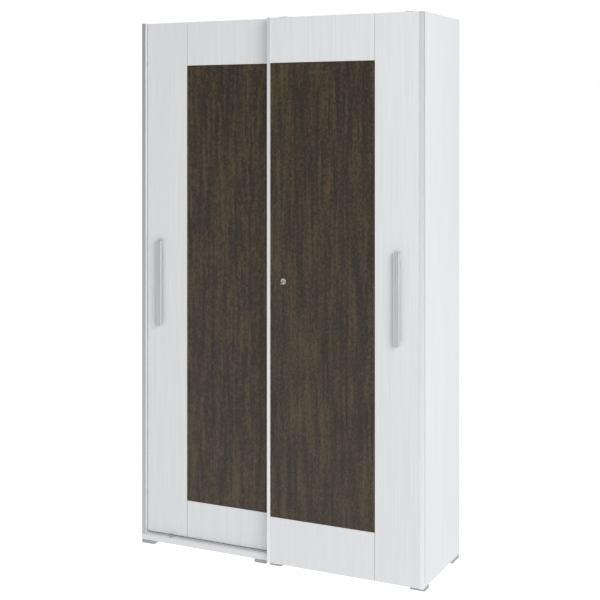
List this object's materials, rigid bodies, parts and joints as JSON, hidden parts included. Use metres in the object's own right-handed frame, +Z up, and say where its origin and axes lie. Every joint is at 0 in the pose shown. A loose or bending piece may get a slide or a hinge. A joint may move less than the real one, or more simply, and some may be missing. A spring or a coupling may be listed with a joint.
{
  "type": "sliding door wardrobe",
  "caption": "Tall wardrobe with an overlaid front sliding door and an inset rear one, framed boards with dark panels, bow handles, a lock, shelves and a hanging rail.",
  "frame": {"origin": "middle of the floor area of the bounding box, on the floor under the feet", "axes": "+X to the right as seen from the front, +Y from the doors to the back, +Z up"},
  "size_m": [1.2, 0.4326, 2.083],
  "materials": {
    "white_melamine": "white melamine-faced chipboard with a faint upright grain",
    "dark_melamine": "dark mottled melamine-faced chipboard, matt",
    "white_hardboard": "white-painted hardboard",
    "aluminium": "satin anodised extrusion",
    "zinc_steel": "zinc-plated steel",
    "grey_plastic": "moulded grey plastic",
    "nylon": "moulded nylon",
    "beech": "ribbed beech",
    "rubber": "soft pad",
    "nickel": "nickel-plated"
  },
  "bodies": {
    "carcass": {"left_side": "white_melamine", "right_side": "white_melamine", "bottom_panel": "white_melamine", "top_panel": "white_melamine", "centre_partition": "white_melamine", "back_left": "white_hardboard", "back_right": "white_hardboard", "hat_shelf": "white_melamine", "shelf_1": "white_melamine", "shelf_2": "white_melamine", "shelf_3": "white_melamine", "shelf_4": "white_melamine", "hanging_rail": "zinc_steel", "rail_holders": "zinc_steel", "left_edge_trim": "aluminium", "right_edge_trim": "aluminium", "bottom_track": "aluminium", "top_track": "aluminium", "track_stops": "grey_plastic", "feet": "grey_plastic", "cam_fittings": "zinc_steel", "shelf_pins": "zinc_steel", "back_nails": "zinc_steel", "track_screws": "zinc_steel", "partition_screws": "zinc_steel", "door_buffers": "rubber", "wall_brackets": "zinc_steel", "bracket_screws": "zinc_steel"},
    "rear_door": {"rear_stile": "white_melamine", "rear_top_rail": "white_melamine", "rear_bottom_rail": "white_melamine", "rear_panel": "dark_melamine", "rear_edge_profile": "aluminium", "rear_handle": "aluminium", "rear_door_screws": "zinc_steel", "rear_roller_housings": "grey_plastic", "rear_axles": "zinc_steel", "rear_top_guides": "nylon", "rear_dowels": "beech", "strike": "zinc_steel"},
    "front_door": {"front_stile": "white_melamine", "front_top_rail": "white_melamine", "front_bottom_rail": "white_melamine", "front_panel": "dark_melamine", "front_left_profile": "aluminium", "front_right_profile": "aluminium", "front_handle": "aluminium", "front_door_screws": "zinc_steel", "front_roller_housings": "grey_plastic", "front_axles": "zinc_steel", "front_top_guides": "nylon", "front_dowels": "beech", "lock_barrel": "nickel"},
    "lock_cylinder": {"lock_plug": "nickel", "key": "nickel"},
    "lock_bolt": {"lock_bolt": "nickel"},
    "rear_wheel_left": {"rear_wheel_left": "nylon"},
    "rear_wheel_right": {"rear_wheel_right": "nylon"},
    "front_wheel_left": {"front_wheel_left": "nylon"},
    "front_wheel_right": {"front_wheel_right": "nylon"}
  },
  "joints": [
    {"name": "rear_slide", "type": "slide", "parent": "carcass", "child": "rear_door", "axis": [1, 0, 0], "range_m": [0, 0.4785]},
    {"name": "front_slide", "type": "slide", "parent": "carcass", "child": "front_door", "axis": [1, 0, 0], "range_m": [-0.4735, 0]},
    {"name": "bolt_slide", "type": "slide", "parent": "front_door", "child": "lock_bolt", "axis": [0, 1, 0], "range_m": [0, 0.008]},
    {"name": "key_turn", "type": "hinge", "parent": "front_door", "child": "lock_cylinder", "pos_m": [0.044, -0.19375, 1.084], "axis": [0, 1, 0], "range_deg": [0, 91]},
    {"name": "rear_wheel_left_spin", "type": "hinge", "parent": "rear_door", "child": "rear_wheel_left", "pos_m": [-0.523, -0.13575, 0.0508], "axis": [0, 1, 0], "continuous": true},
    {"name": "rear_wheel_right_spin", "type": "hinge", "parent": "rear_door", "child": "rear_wheel_right", "pos_m": [-0.02, -0.13575, 0.0508], "axis": [0, 1, 0], "continuous": true},
    {"name": "front_wheel_left_spin", "type": "hinge", "parent": "front_door", "child": "front_wheel_left", "pos_m": [0.0334, -0.16975, 0.0508], "axis": [0, 1, 0], "continuous": true},
    {"name": "front_wheel_right_spin", "type": "hinge", "parent": "front_door", "child": "front_wheel_right", "pos_m": [0.54, -0.16975, 0.0508], "axis": [0, 1, 0], "continuous": true}
  ],
  "couplings": [
    {"joint": "key_turn", "follows": "bolt_slide", "rad_per_m": 196.35},
    {"joint": "rear_wheel_left_spin", "follows": "rear_slide", "rad_per_m": 105.26},
    {"joint": "rear_wheel_right_spin", "follows": "rear_slide", "rad_per_m": 105.26},
    {"joint": "front_wheel_left_spin", "follows": "front_slide", "rad_per_m": 105.26},
    {"joint": "front_wheel_right_spin", "follows": "front_slide", "rad_per_m": 105.26}
  ]
}
